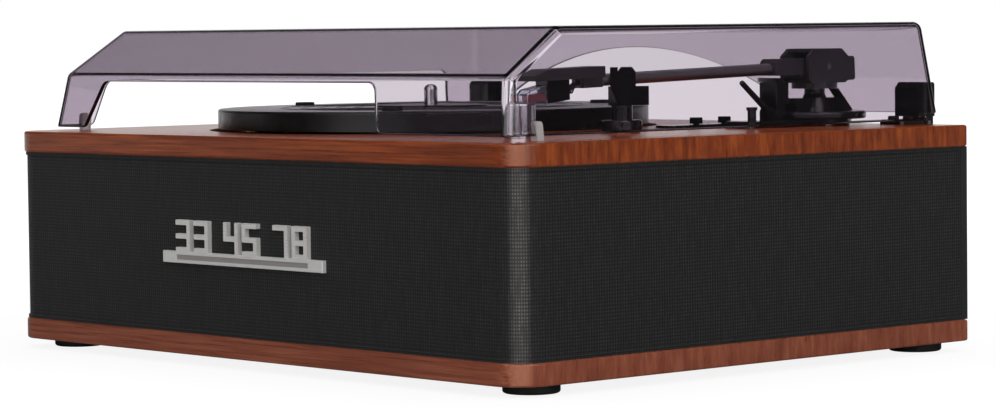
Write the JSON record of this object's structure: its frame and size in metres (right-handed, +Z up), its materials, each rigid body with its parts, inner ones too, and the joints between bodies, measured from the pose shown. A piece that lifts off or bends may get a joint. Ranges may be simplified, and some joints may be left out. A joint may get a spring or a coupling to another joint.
{
  "type": "record player",
  "caption": "Table-top record player in a veneered cabinet with woven grille cloth, belt-driven platter, straight tonearm and a smoked hinged cover with cut-outs.",
  "frame": {"origin": "middle of the rectangle that bounds the whole object seen from above, on the surface that it stands on", "axes": "+X to the right along the front, -Y out of the front, +Z up"},
  "size_m": [0.4, 0.3206, 0.1683],
  "materials": {
    "veneer": "satin reddish-brown walnut veneer",
    "veneer_base": "satin reddish-brown veneer",
    "panel_board": "bare fibreboard",
    "rear_black": "matt black painted board",
    "cloth": "fine woven black grille cloth",
    "rubber_black": "matt black",
    "rubber_clear": "translucent soft",
    "badge_metal": "satin silver",
    "steel": "plain",
    "screw_black": "black",
    "platter_black": "satin black",
    "arm_black": "satin black",
    "tube_dark": "dark grey satin",
    "gloss_black": "gloss black",
    "stylus_red": "translucent red",
    "guard_clear": "clear",
    "knob_chrome": "bright",
    "spindle_steel": "bright",
    "brass": "plain",
    "nylon": "natural",
    "cone_paper": "black paper",
    "magnet": "dark ferrite",
    "board_green": "green circuit board",
    "wire": "black insulation",
    "smoked_acrylic": "smoked clear acrylic",
    "lead_wire": "thin insulated leads"
  },
  "bodies": {
    "cabinet": {"base_board": "veneer_base", "top_board": "veneer", "front_baffle": "panel_board", "corner_posts": "panel_board", "side_panel_left": "panel_board", "side_panel_right": "panel_board", "rear_panel": "rear_black", "rear_panel_screws": "screw_black", "grille_cloth": "cloth", "feet": "rubber_black", "wood_screws": "steel", "badge": "badge_metal", "speaker_frames": "screw_black", "speaker_cones": "cone_paper", "speaker_magnets": "magnet", "amplifier_board": "board_green", "board_standoffs": "nylon", "wiring": "wire", "dc_inlet": "gloss_black", "line_out_sockets": "steel", "deck_tray": "platter_black", "bearing_bush": "brass", "thrust_pad": "nylon", "drive_belt": "rubber_black", "motor": "steel", "motor_grommets": "rubber_black", "motor_screws": "steel", "arm_base": "gloss_black", "arm_clamp_nut": "steel", "arm_rest": "gloss_black", "lift_tower": "gloss_black", "switch_panel": "gloss_black", "volume_pot": "steel", "hinge_brackets": "gloss_black", "hinge_screws": "screw_black"},
    "platter": {"platter": "platter_black", "spindle": "spindle_steel", "record_pads": "rubber_black"},
    "pulley": {"motor_pulley": "brass"},
    "yoke": {"arm_yoke": "arm_black", "arm_pivot_pins": "steel"},
    "arm": {"arm_gimbal": "arm_black", "arm_tube": "tube_dark", "headshell": "arm_black", "cartridge": "gloss_black", "cartridge_leads": "lead_wire", "stylus": "stylus_red", "stylus_guard": "guard_clear", "counterweight": "arm_black"},
    "lift": {"lift_platform": "gloss_black"},
    "lever": {"cue_lever": "gloss_black"},
    "knob": {"volume_knob": "knob_chrome", "pot_shaft": "steel"},
    "speed_switch": {"speed_switch_cap": "gloss_black"},
    "auto_stop_switch": {"auto_stop_cap": "gloss_black"},
    "cover": {"dust_cover": "smoked_acrylic", "cover_bumpers": "rubber_clear", "hinge_clips": "gloss_black", "hinge_pins": "steel"}
  },
  "joints": [
    {"name": "cover_hinge", "type": "hinge", "parent": "cabinet", "child": "cover", "pos_m": [0, 0.15557, 0.1161], "axis": [-1, 0, 0], "range_deg": [0, 80]},
    {"name": "platter_spin", "type": "hinge", "parent": "cabinet", "child": "platter", "pos_m": [-0.0352, -0.00402, 0.1265], "axis": [0, 0, -1], "continuous": true},
    {"name": "pulley_spin", "type": "hinge", "parent": "cabinet", "child": "pulley", "pos_m": [-0.10729, -0.06893, 0.112], "axis": [0, 0, -1], "continuous": true},
    {"name": "arm_yaw", "type": "hinge", "parent": "cabinet", "child": "yoke", "pos_m": [0.1316, 0.11088, 0.1457], "axis": [0, 0, -1], "range_deg": [0, 37]},
    {"name": "arm_pitch", "type": "hinge", "parent": "yoke", "child": "arm", "pos_m": [0.1316, 0.11088, 0.1457], "axis": [-0.9968, 0.0795, 0], "range_deg": [0, 4.5]},
    {"name": "cue_lever_turn", "type": "hinge", "parent": "cabinet", "child": "lever", "pos_m": [0.13743, 0.07079, 0.1227], "axis": [0.9968, -0.0795, 0], "range_deg": [0, 35]},
    {"name": "lift_slide", "type": "slide", "parent": "cabinet", "child": "lift", "axis": [0, 0, -1], "range_m": [0, 0.004]},
    {"name": "volume_turn", "type": "hinge", "parent": "cabinet", "child": "knob", "pos_m": [0.1377, -0.10143, 0.123], "axis": [0, 0, -1], "range_deg": [0, 300]},
    {"name": "speed_switch_slide", "type": "slide", "parent": "cabinet", "child": "speed_switch", "axis": [0, 1, 0], "range_m": [0, 0.008]},
    {"name": "auto_stop_slide", "type": "slide", "parent": "cabinet", "child": "auto_stop_switch", "axis": [0, 1, 0], "range_m": [0, 0.004]}
  ],
  "couplings": [
    {"joint": "pulley_spin", "follows": "platter_spin", "ratio": 13.333},
    {"joint": "cue_lever_turn", "follows": "lift_slide", "rad_per_m": 152.72}
  ]
}
